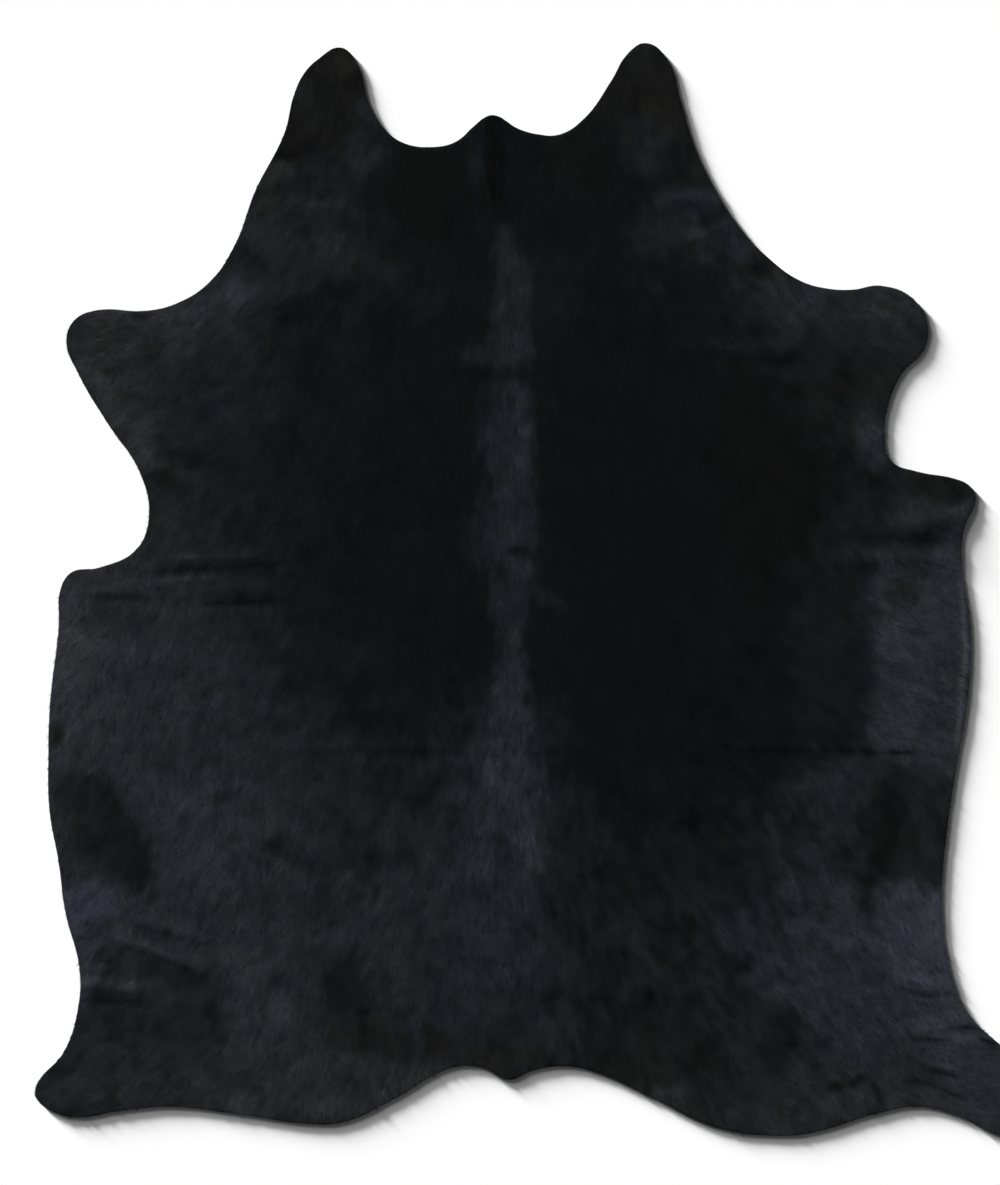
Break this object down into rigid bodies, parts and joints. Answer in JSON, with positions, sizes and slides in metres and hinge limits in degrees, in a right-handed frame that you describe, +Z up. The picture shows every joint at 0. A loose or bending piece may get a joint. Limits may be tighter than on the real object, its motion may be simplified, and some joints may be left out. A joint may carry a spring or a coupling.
{
  "type": "cowhide rug",
  "caption": "Flat one-piece hair-on cowhide rug with the natural outline of a whole skin, lying hair side up with soft storage creases.",
  "frame": {"origin": "on the floor, under the middle of the hide's bounding box", "axes": "+Y towards the head end, +X towards the hide's right side seen from above, +Z up from the floor"},
  "size_m": [2.046, 2.2017, 0.011],
  "materials": {
    "hair_hide": "near-black short hair lying flat, low soft sheen"
  },
  "bodies": {
    "root": {"hide": "hair_hide"}
  },
  "joints": []
}
